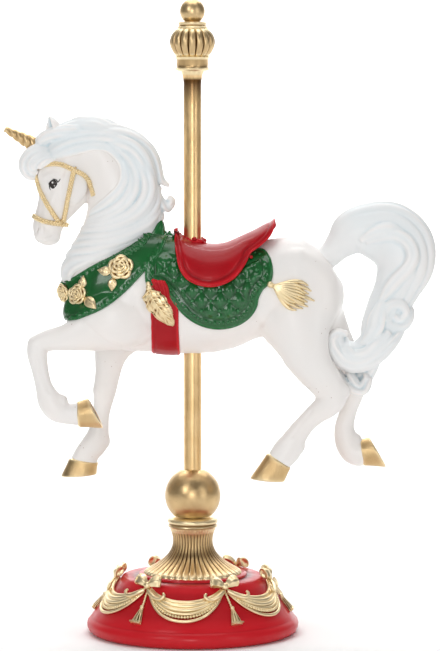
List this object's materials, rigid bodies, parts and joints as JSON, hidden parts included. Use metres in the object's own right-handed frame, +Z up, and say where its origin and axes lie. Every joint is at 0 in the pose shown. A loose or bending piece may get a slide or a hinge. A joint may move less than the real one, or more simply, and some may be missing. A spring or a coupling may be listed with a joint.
{
  "type": "carousel horse figurine on a stand",
  "caption": "Carousel unicorn figurine, trotting, with saddle, collar and bridle, on a turned pole with a ball and a lobed finial, in a round base hung with swags.",
  "frame": {"origin": "centre of the base's flat underside, on the pole's axis", "axes": "+Z up along the pole; the horse's head points to -X, its tail to +X and its right flank to +Y"},
  "size_m": [0.2242, 0.1108, 0.33],
  "materials": {
    "red_paint": "satin red paint on cast resin",
    "gold_paint": "satin gold paint",
    "white_paint": "matt white paint on cast resin",
    "green_paint": "satin green paint on cast resin",
    "hair_paint": "matt white paint washed with pale blue",
    "eye_paint": "gloss black paint"
  },
  "bodies": {
    "root": {"base": "red_paint", "pedestal": "gold_paint", "ball": "gold_paint", "pole": "gold_paint", "finial": "gold_paint", "horse": "white_paint"}
  },
  "joints": []
}
